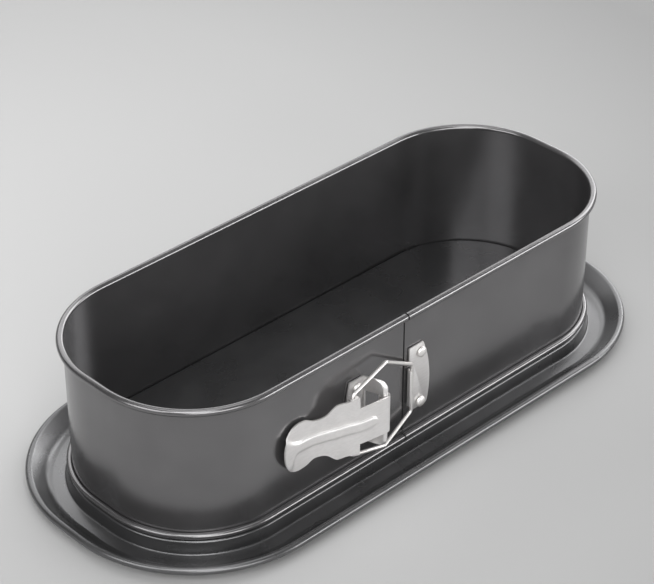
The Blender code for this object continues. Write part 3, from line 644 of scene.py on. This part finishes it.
bail = {
    "wire": 0.00085,  # radius
    "barX": -0.0097,
    "barOut": 0.00215,
    "barDrop": 0.0031,  # under the clasp's middle
    "barHalf": 0.0125,  # half heights at the bar, at the bends and at the two ends
    "bendDrop": 0.0016,
    "bendHalf": 0.0222,
    "endHalf": 0.0157,
    "bendReach": 0.0183,  # from the bar to the bends
    "stub": 0.0031,  # length of the inturned ends
    "cornerRadius": 0.0017,
    "bendRadius": 0.0022,
    "bendSteps": 10,
    "sides": 24,
}

overrun = 0.0040  # how far a cutting outline runs past what it cuts
sliver = 0.00005  # keeps two joined faces out of one plane
wide = 8 * overrun  # from the hinge to past the bracket on both sides


# A flat outline drawn out from its place
def slab(name, outline, start, reach):
    solid = bmesh.new()
    near = [solid.verts.new(Vector(point) + Vector(start)) for point in outline]
    far = [solid.verts.new(vert.co + Vector(reach)) for vert in near]
    solid.faces.new(near)
    solid.faces.new(far[::-1])
    for index in range(len(near)):
        solid.faces.new((near[index - 1], near[index], far[index], far[index - 1]))
    return addSource(name, solid)


# Cuts or joins bodies to a pressed part in turn, and softens its edges
def pressed(source, steps, name, material, edge):
    for operation, other in steps:
        step = source.modifiers.new("step", "BOOLEAN")
        step.operation = operation
        step.solver = "EXACT"
        step.object = other
    if edge:
        soften(source, edge)
    piece = plainMesh(source, name, material)
    for _, other in steps:
        bpy.data.objects.remove(other, do_unlink=True)
    return piece


def sectionSlab(name, line):
    left, right = sheetSides(line, bracket["sheet"])
    outline = [(x, wallFront - out, 0) for x, out in left + right[::-1]]
    height = bracket["height"]
    return slab(name, outline, (0, 0, hinge.z - height), (0, 0, 2 * height))


def frontSlab(name, outline):
    reach = 2 * hingeOut
    return slab(name, [(x, 0, z) for x, z in outline], (0, wallFront - reach, 0), (0, 2 * reach, 0))


# Places along the rolled edge: outwards along the flange, height from the middle, radius
def rollPlaces(corner):
    places = []
    for step in range(bracket["rollSteps"] + 1):
        share = 1 - step / bracket["rollSteps"]
        end = bracket["rollEnd"]
        radius = end + (bracket["barRadius"] - end) * (1 - share ** bracket["rollTaper"])
        angle = share * math.pi / 2
        away = bracket["barRadius"] - corner + (corner - radius) * math.cos(angle)
        height = bracket["height"] / 2 - corner + (corner - radius) * math.sin(angle)
        places.append((away, height, radius))
    return places


# One sheet: a riveted foot with a bulging left edge, and a flange that stands out of the wall to
# its rolled edge, with a window in it
def makeBracket():
    flange = math.radians(bracket["flangeAngle"])
    along = Vector((math.cos(flange), math.sin(flange)))
    aside = Vector((math.sin(flange), -math.cos(flange)))
    sheet, bend, bar = bracket["sheet"], bracket["bend"], bracket["barRadius"]
    touch = Vector((hinge.x, hingeOut)) - aside * (bar - sheet / 2 - sliver)
    middle = pan["seatGap"] + sheet / 2
    cornerX = touch.x - (touch.y - middle) * along.x / along.y
    bendCentre = (cornerX - bend * math.tan(flange / 2), middle + bend)
    line = [(bracket["footLeft"] - overrun, middle)]
    line += arcPoints(bendCentre, bend, -math.pi / 2, -math.pi / 2 + flange, bracket["bendSteps"])
    line.append(tuple(touch))
    section = sectionSlab("bracketSection", line)

    half = bracket["height"] / 2
    swing = math.asin(half / bracket["footBulge"])
    bulge = (bracket["footLeft"] + bracket["footBulge"], hinge.z)
    outline = arcPoints(
        bulge, bracket["footBulge"], math.pi - swing, math.pi + swing, bracket["bulgeSteps"],
    )
    outline += [(hinge.x + overrun, hinge.z - half), (hinge.x + overrun, hinge.z + half)]
    front = frontSlab("bracketFront", outline)

    upper = rollPlaces(bracket["upperCorner"])
    lower = [(away, -height, radius) for away, height, radius in rollPlaces(bracket["lowerCorner"])]
    rolled = [(wallFront - touch.y - along.y * away, height) for away, height, _ in upper + lower[::-1]]
    inside = wallFront + overrun
    outline = [
        (inside, 2 * half),
        (rolled[0][0], 2 * half),
        *rolled,
        (rolled[-1][0], -2 * half),
        (inside, -2 * half),
    ]
    outline = [(0, y, hinge.z + height) for y, height in outline]
    side = slab("bracketSide", outline, (hinge.x - wide, 0, 0), (2 * wide, 0, 0))

    for end, inwards in ((upper, -sliver), (lower, sliver)):
        away, height, radius = end[0]
        end.insert(0, (away - 3 * bracket["rollEnd"], height + inwards, radius))
    knots, radii = [], []
    for away, height, radius in upper + lower[::-1]:
        x, out = touch + along * away + aside * max(radius - sheet / 2 - sliver, 0)
        knots.append((x, wallFront - out, hinge.z + height))
        radii.append(radius)
    rod = polyCurve("rolledEdge", knots, False, radii)
    rod.data.bevel_depth = 1
    rod.data.bevel_resolution = bracket["barSides"] // 4
    rod.data.use_fill_caps = True
    rod = plainMesh(rod, "rolledEdgeSolid", zincPlate)

    opening = half - bracket["windowEnd"]
    left, right = hinge.x - 3 * overrun, hinge.x + overrun
    near, far = wallFront - pan["seatGap"] - sheet - bracket["windowStart"], hinge.y - overrun
    corners = [(left, near, 0), (right, near, 0), (right, far, 0), (left, far, 0)]
    window = slab("window", corners, (0, 0, hinge.z - opening), (0, 0, 2 * opening))
    ring = arcPoints((hinge.x, hinge.y), bar + sliver, 0, 2 * math.pi, bracket["barSides"])[:-1]
    ring = [(x, y, 0) for x, y in ring]
    core = slab("core", ring, (0, 0, hinge.z - 2 * opening), (0, 0, 4 * opening))
    window = pressed(window, [("DIFFERENCE", core)], "windowSolid", zincPlate, 0)
    steps = [("INTERSECT", front), ("INTERSECT", side), ("UNION", rod), ("DIFFERENCE", window)]
    return pressed(section, steps, "hingeBracket", zincPlate, bracket["edge"])


# One sheet with a bulging right edge, and a hook along part of its left one that holds the bail
def makeCatchPlate():
    sheet, half = bracket["sheet"], bracket["height"] / 2
    bend = bail["wire"] + plate["wireClear"] + sheet / 2
    line = [(plate["right"] + overrun, pan["seatGap"] + sheet / 2)]
    bar = (bail["barX"], bail["barOut"])
    line += arcPoints(bar, bend, -math.pi / 2, -math.pi, plate["hookSteps"])
    line.append((bail["barX"] - bend, bail["barOut"] + plate["hookLip"]))
    section = sectionSlab("plateSection", line)

    top, bottom = hinge.z + half, hinge.z - half
    bulgeZ = hinge.z - plate["bulgeDrop"]
    bulge = (plate["right"] - plate["bulge"], bulgeZ)
    upperAngle = math.asin((top - bulgeZ) / plate["bulge"])
    lowerAngle = math.asin((bottom + plate["round"] - bulgeZ) / plate["bulge"])
    lowerX = bulge[0] + plate["bulge"] * math.cos(lowerAngle) - plate["round"]
    hookMiddle = hinge.z - plate["hookDrop"]
    hookTop = hookMiddle + plate["hookLength"] / 2
    hookLow = hookMiddle - plate["hookLength"] / 2
    hookLeft = bail["barX"] - 2 * (bail["wire"] + plate["wireClear"] + sheet)
    relief = plate["hookRelief"]
    outline = arcPoints(bulge, plate["bulge"], lowerAngle, upperAngle, plate["bulgeSteps"])
    outline += [
        (plate["cornerX"], top),
        (plate["cornerX"], hookTop + relief),
        (plate["cornerX"] + 2 * relief, hookTop + relief),
        (plate["cornerX"] + 2 * relief, hookTop),
        (hookLeft, hookTop),
        (hookLeft, hookLow),
        (plate["lowerX"], hookLow),
        (plate["lowerX"], bottom),
    ]
    corner = (lowerX, bottom + plate["round"])
    outline += arcPoints(corner, plate["round"], -math.pi / 2, 0, plate["roundSteps"])[:-1]
    front = frontSlab("plateFront", outline)
    return pressed(section, [("INTERSECT", front)], "catchPlate", zincPlate, bracket["edge"])


# Lever


lever = {
    "sheet": 0.0007,
    "clear": 0.00025,  # between the knuckle and the bar
    "sweep": 240,  # how far the knuckle curls round the bar
    "knuckleSteps": 26,
    "tongueHalf": 0.0092,
    "notch": 0.0143,  # along the lever from the hinge, as the tip, the rib and the pad
    "earRadius": 0.0019,
    "tip": 0.0420,
    "length": 0.0517,
    "ribStart": 0.0058,
    "ribHalf": 0.0028,
    "ribHeight": 0.0008,
    "ribFlankUpper": 0.0008,
    "ribFlankLower": 0.0009,
    "ribLeast": 0.0016,  # the rib's columns come no closer to the middle
    "ribShare": 0.92,  # of the tongue's half height, the most that they reach
    "crest": 0.0003,  # the innermost columns, and how far each lies from the next
    "crestStep": 0.0001,
    "padUpper": (0.0400, 0.0517),  # where the rib opens into the raised pad, on each side
    "padLower": (0.0428, 0.0470),
    "padReach": 0.0110,
    "padFade": 4,  # how many times wider the slopes are at the tip
    "tongueRows": (0.17, 0.33, 0.5, 0.67, 0.83),  # as shares of the way to the rib
    "ribRows": (0, 0.03, 0.1, 0.22, 0.4, 0.65, 1),  # as shares of the rib's rounded end
    "flankSteps": 6,
    "sideSteps": 4,
    "notchSteps": 8,
    "earSteps": 12,
    "bodySteps": 40,
    "tipSteps": 20,
    "foldSteps": 4,
    "drillSides": 32,
    "drillReach": 0.030,
    "edge": 0.00012,
    "profile": (  # along, and how far out from the hinge
        (0.0074, 0.0011), (0.0144, -0.0002), (0.0204, -0.0025), (0.0254, -0.0040), (0.0314, -0.0061),
        (0.0354, -0.0072), (0.0399, -0.0077), (0.0454, -0.0077), (0.0517, -0.0070),
    ),
    "halfWidth": (
        (0.0143, 0.0147), (0.0158, 0.0142), (0.0200, 0.0140), (0.0241, 0.0141), (0.0256, 0.0132),
        (0.0284, 0.0107), (0.0312, 0.0097), (0.0348, 0.0098), (0.0384, 0.0116), (0.0420, 0.0121),
    ),
}


# A smooth curve through points, read at one place
def smoothValue(points, where):
    last = len(points) - 1
    index = next((place for place in range(last) if where <= points[place + 1][0]), last - 1)
    (startX, startY), (endX, endY) = points[index], points[index + 1]
    before, after = points[max(index - 1, 0)], points[min(index + 2, last)]
    startSlope = (endY - before[1]) / (endX - before[0])
    endSlope = (after[1] - startY) / (after[0] - startX)
    span = endX - startX
    t = min(max((where - startX) / span, 0), 1)
    ends = (2 * t ** 3 - 3 * t ** 2 + 1) * startY + (3 * t ** 2 - 2 * t ** 3) * endY
    return ends + span * ((t ** 3 - 2 * t ** 2 + t) * startSlope + (t ** 3 - t ** 2) * endSlope)


# Half width of the rib on one side, and the width of its slope there
def ribSide(along, side):
    upper = side > 0
    start, end = lever["padUpper"] if upper else lever["padLower"]
    flank = lever["ribFlankUpper"] if upper else lever["ribFlankLower"]
    share = min(max((along - start) / (end - start), 0), 1)
    half = lever["ribHalf"] + (lever["padReach"] - lever["ribHalf"]) * share ** 2
    runIn = max(along - lever["ribStart"], 0)
    if runIn < half:
        half *= math.sqrt(1 - (1 - runIn / half) ** 2)
    return half, flank * (1 + (lever["padFade"] - 1) * share)


def ribRise(along, height):
    half, flank = ribSide(along, height)
    share = min(max((half - abs(height)) / flank, 0), 1)
    return lever["ribHeight"] * share * share * (3 - 2 * share)


# Heights of the sheet's columns on one side, from the middle outwards: on the rib's slope, then to
# the tongue's edge, and, where the sheet is wider than the tongue, on to its own edge
def leverColumns(along, inner, full, side):
    rib, slope = ribSide(along, side)
    rib = max(rib, lever["ribLeast"])
    steps = lever["flankSteps"]
    flank = [
        max(rib - slope * (1 - step / steps), lever["crest"] + lever["crestStep"] * step)
        for step in range(steps + 1)
    ]
    squeeze = min(1, inner * lever["ribShare"] / rib)
    columns = [flank[0] * squeeze / 2] + [height * squeeze for height in flank]
    shares = [step / lever["sideSteps"] for step in range(1, lever["sideSteps"] + 1)]
    edge = columns[-1]
    columns += [edge + (inner - edge) * share for share in shares[:-1]] + [inner]
    if full is not None:
        columns += [inner + (full - inner) * share for share in shares]
    return columns


# Places of the sheet's rows along the lever: on the tongue, and from the notch to the tip
def leverPlaces():
    notch, ear, tip = lever["notch"], lever["earRadius"], lever["tip"]
    start, half = lever["ribStart"], lever["ribHalf"]
    steps = lever["notchSteps"]
    tongue = [start * share for share in lever["tongueRows"]]
    tongue += [start + half * share for share in lever["ribRows"]]
    tongue += [tongue[-1] + (notch - tongue[-1]) * step / steps for step in range(1, steps)]
    steps = lever["earSteps"]
    body = [notch + ear - ear * math.cos(math.pi * step / steps) for step in range(steps + 1)]
    steps = lever["bodySteps"]
    body += [body[-1] + (tip - body[-1]) * step / steps for step in range(1, steps + 1)]
    steps, point = lever["tipSteps"], lever["length"] - tip
    body += [tip + point * math.sin(math.pi / 2 * step / steps) for step in range(1, steps)]
    return tongue, body


# Rows of the sheet: x, out, along, half height of the tongue's columns, half height of all
def leverRows():
    curl = bracket["barRadius"] + lever["clear"] + lever["sheet"] / 2
    first = math.pi / 2 - math.radians(lever["sweep"])
    rows = []
    for x, out in arcPoints((hinge.x, hingeOut), curl, first, math.pi / 2, lever["knuckleSteps"]):
        rows.append((x, out, 0, lever["tongueHalf"], None))
    profile = ((0, curl),) + lever["profile"]
    tip, length = lever["tip"], lever["length"]
    tongue, body = leverPlaces()
    for along in tongue:
        out = hingeOut + smoothValue(profile, along)
        rows.append((hinge.x - along, out, along, lever["tongueHalf"], None))
    for along in body:
        full = smoothValue(lever["halfWidth"], along)
        if along > tip:
            full = lever["halfWidth"][-1][1] * math.sqrt(1 - ((along - tip) / (length - tip)) ** 2)
        inner = full * lever["tongueHalf"] / lever["halfWidth"][0][1]
        rows.append((hinge.x - along, hingeOut + smoothValue(profile, along), along, inner, full))
    return rows


# The sheet on a fine grid, with an ear folded back at each edge behind the notch
def makeLever():
    sheet = bmesh.new()
    grid = []
    for x, out, along, inner, full in leverRows():
        row = {}
        places = {0: 0}
        for side in (-1, 1):
            for index, height in enumerate(leverColumns(along, inner, full, side)):
                places[side * (index + 1)] = side * height
        for index, height in places.items():
            rise = ribRise(along, height) if along > lever["ribStart"] else 0
            row[index] = sheet.verts.new((x, wallFront - out - rise, hinge.z + height))
        grid.append((row, along))
    for (here, _), (there, _) in zip(grid, grid[1:]):
        for index in range(min(here), max(here)):
            if index in there and index + 1 in there:
                sheet.faces.new((here[index], here[index + 1], there[index + 1], there[index]))
    outermost = max(max(row) for row, _ in grid)
    folds = lever["foldSteps"]
    ear = lever["earRadius"]
    for side in (-1, 1):
        fold = []
        for row, along in grid:
            offset = hinge.x - pivot.x - along
            if side * outermost in row and abs(offset) < ear + edges["weld"]:
                vert = row[side * outermost]
                depth = pivotOut - ear * math.sqrt(max(0, 1 - (offset / ear) ** 2))
                strip = [vert]
                for step in range(1, folds + 1):
                    y = vert.co.y + (wallFront - depth - vert.co.y) * step / folds
                    strip.append(sheet.verts.new((vert.co.x, y, vert.co.z)))
                fold.append(strip)
        for one, two in zip(fold, fold[1:]):
            for step in range(folds):
                sheet.faces.new((one[step], two[step], two[step + 1], one[step + 1]))
    source = addSource("leverSheet", sheet)
    solid = source.modifiers.new("thickness", "SOLIDIFY")
    solid.thickness = lever["sheet"]
    solid.offset = 0
    solid.use_even_offset = True
    solid.use_quality_normals = True
    radius, reach = bail["wire"] + lever["clear"], lever["drillReach"]
    hole = arcPoints((pivot.x, pivot.y), radius, 0, 2 * math.pi, lever["drillSides"])[:-1]
    drill = slab("pivotHole", [(x, y, 0) for x, y in hole], (0, 0, hinge.z - reach), (0, 0, 2 * reach))
    return pressed(source, [("DIFFERENCE", drill)], "claspLever", zincPlate, lever["edge"])


# Wire bail


# A wire with rounded bends: the path's point radius says how wide each bend is
def makeWireTree():
    tree, given = startTree("bentWire", {
        "Path": "Object", "Wire Radius": "Float", "Bend Steps": "Int", "Sides": "Int",
    })
    path = addNode(tree, "GeometryNodeObjectInfo", {"Object": given["Path"]})
    bend = addNode(tree, "GeometryNodeInputRadius")
    rounded = addNode(tree, "GeometryNodeFilletCurve", {
        "Curve": path.outputs["Geometry"],
        "Radius": bend.outputs["Radius"],
        "Limit Radius": True,
        "Count": given["Bend Steps"],
    }, mode="POLY")
    even = addNode(tree, "GeometryNodeSetCurveRadius", {
        "Curve": rounded.outputs["Curve"], "Radius": 1.0,
    })
    ring = addNode(tree, "GeometryNodeCurvePrimitiveCircle", {
        "Resolution": given["Sides"], "Radius": given["Wire Radius"],
    })
    wire = addNode(tree, "GeometryNodeCurveToMesh", {
        "Curve": even.outputs["Curve"], "Profile Curve": ring.outputs["Curve"], "Fill Caps": True,
    })
    return endTree(tree, wire.outputs["Mesh"], given["Finish"])


# The loop runs from one inturned end over two bends to the bar in the hook, and back the same way
def makeBail():
    bar = Vector((bail["barX"], wallFront - bail["barOut"], 0))
    end = Vector((pivot.x, pivot.y, 0))
    bend = bar + (end - bar).normalized() * bail["bendReach"]
    corner, arm = bail["cornerRadius"], bail["bendRadius"]
    knots = (
        (end, 0, bail["endHalf"] - bail["stub"], 0),
        (end, 0, bail["endHalf"], corner),
        (bend, bail["bendDrop"], bail["bendHalf"], arm),
        (bar, bail["barDrop"], bail["barHalf"], corner),
    )
    points = [place + Vector((0, 0, hinge.z - drop + half)) for place, drop, half, _ in knots]
    points += [place + Vector((0, 0, hinge.z - drop - half)) for place, drop, half, _ in knots[::-1]]
    radii = [radius for _, _, _, radius in knots]
    path = polyCurve("bailPath", points, False, radii + radii[::-1])
    values = {
        "Path": path,
        "Wire Radius": bail["wire"],
        "Bend Steps": bail["bendSteps"],
        "Sides": bail["sides"],
    }
    return runNodes("wireBail", makeWireTree(), values, drawnWire, edges["sharpRound"])


# Pieces, each on its body


baseTray = makeTray()
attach(baseTray, "base")
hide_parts("base_tray")
print("tray made")

springBand = makeBand()
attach(springBand, "band")
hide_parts("band")
innerLap = makeLap()
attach(innerLap, "band")
print("band made")

hingeBracket = makeBracket()
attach(hingeBracket, "band")
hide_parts("hinge_bracket")
catchPlate = makeCatchPlate()
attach(catchPlate, "band")
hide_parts("catch_plate")
rivetSet = makeRivets()
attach(rivetSet, "band")
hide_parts(*rivetNodes)
print("bracket, catch plate and rivets made")

claspLever = makeLever()
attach(claspLever, "lever")
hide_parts("clasp_lever")
wireBail = makeBail()
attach(wireBail, "bail")
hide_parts("wire_bail")
print("lever and bail made")


# Floor, light and camera


studio = {
    "floorSize": 6.0,
    "floorRoughness": 0.8,
    "floorSpecular": 0.1,
    # Painted light: the floor's colour is a painted pool of light, pale in its middle and darker grey
    # outwards, in place of the lamps' own falloff
    "floorPaintedLightShades": ("c6c6c6", "b1b1b1", "919191"),  # from the pool's middle outwards
    "paintedLightPool": (-0.15, 0.25, 0.0),
    "paintedLightInner": 0.10,
    "paintedLightMiddle": 0.55,  # place of the second shade, as a share of the way outwards
    "paintedLightOuter": 0.55,
    "worldColour": "f2f2f2",
    "worldStrength": 0.18,
    "aim": (0.0, 0.0, 0.03),
    "softboxes": (  # name, place, width, height, watts
        ("softboxTop", (0.0, 0.0, 1.6), 1.2, 1.2, 7.0),
        ("softboxOverCamera", (-0.9, -0.9, 1.4), 1.0, 1.0, 13.4),
        ("softboxLeft", (-1.5, -0.1, 0.9), 1.0, 1.0, 9.0),
        ("softboxFront", (-0.6, -1.3, 0.42), 1.2, 0.6, 9.0),
        ("softboxRightFront", (1.0, -1.2, 0.32), 1.2, 0.5, 11.0),
        ("softboxRight", (1.5, -0.1, 0.9), 1.0, 1.0, 13.0),
        ("softboxRightBack", (1.0, 1.0, 0.9), 1.4, 1.0, 8.0),
        ("softboxBack", (0.0, 1.5, 1.0), 1.2, 1.0, 5.2),
        ("stripRight", (1.3, 0.5, 0.3), 0.8, 0.5, 4.0),
    ),
}

camera = {
    "azimuth": -43.916,
    "elevation": 33.728,
    "distance": 1.01143,
    "aside": -0.005583,  # the view's middle passes the origin this far to the side and above
    "above": 0.045271,
    "focal": 121.65,
    "sensor": 36.0,
}


# Matt white board, even and dull in finish, with a painted pool of light: its colour falls off from
# pale to grey away from one place
def makeFloorMaterial():
    material, tree, shader, place = startMaterial("mattWhiteBoardPaintedLight", 0.0, studio["floorRoughness"])
    shader.inputs["Specular IOR Level"].default_value = studio["floorSpecular"]
    # Painted light: the distance from the pool's middle sets how far the colour has fallen from pale to
    # grey
    away = addNode(tree, "ShaderNodeVectorMath", {0: place, 1: studio["paintedLightPool"]}, operation="DISTANCE")
    fall = addNode(tree, "ShaderNodeMapRange", {
        "Value": away.outputs["Value"],
        "From Min": studio["paintedLightInner"],
        "From Max": studio["paintedLightOuter"],
    })
    ramp = addNode(tree, "ShaderNodeValToRGB", {"Fac": fall.outputs["Result"]})
    ramp.color_ramp.elements.new(studio["paintedLightMiddle"])
    for stop, shade in zip(ramp.color_ramp.elements, studio["floorPaintedLightShades"]):
        stop.color = linearColour(shade)
    tree.links.new(ramp.outputs["Color"], shader.inputs["Base Color"])
    return material


def makeFloor():
    mesh = bpy.data.meshes.new("floor")
    half = studio["floorSize"] / 2
    corners = [(-half, -half, 0), (half, -half, 0), (half, half, 0), (-half, half, 0)]
    mesh.from_pydata(corners, [], [(0, 1, 2, 3)])
    floor = addObject("floor", mesh)
    mesh.materials.append(makeFloorMaterial())


def makeSoftbox(name, place, width, height, power):
    lamp = bpy.data.lights.new(name, "AREA")
    lamp.shape = "RECTANGLE"
    lamp.size = width
    lamp.size_y = height
    lamp.energy = power
    box = addObject(name, lamp)
    box.location = place
    box.rotation_euler = (Vector(place) - Vector(studio["aim"])).to_track_quat("Z", "Y").to_euler()


def makeLights():
    for softbox in studio["softboxes"]:
        makeSoftbox(*softbox)
    world = bpy.data.worlds.new("studioAir")
    world.use_nodes = True
    air = world.node_tree.nodes["Background"]
    air.inputs["Color"].default_value = linearColour(studio["worldColour"])
    air.inputs["Strength"].default_value = studio["worldStrength"]
    bpy.context.scene.world = world


def makeCamera():
    around, up = math.radians(camera["azimuth"]), math.radians(camera["elevation"])
    back = Vector((math.sin(around) * math.cos(up), -math.cos(around) * math.cos(up), math.sin(up)))
    right = Vector((math.cos(around), math.sin(around), 0))
    over = back.cross(right)
    lens = bpy.data.cameras.new("camera")
    lens.lens = camera["focal"]
    lens.sensor_width = camera["sensor"]
    lens.dof.use_dof = False
    eye = addObject("camera", lens)
    place = back * camera["distance"] + right * camera["aside"] + over * camera["above"]
    eye.matrix_world = Matrix.Translation(place) @ Matrix((right, over, back)).transposed().to_4x4()
    bpy.context.scene.camera = eye


makeFloor()
makeLights()
makeCamera()
bpy.context.scene.view_settings.view_transform = "Standard"
print("floor, lights and camera made")

bpy.context.view_layer.update()
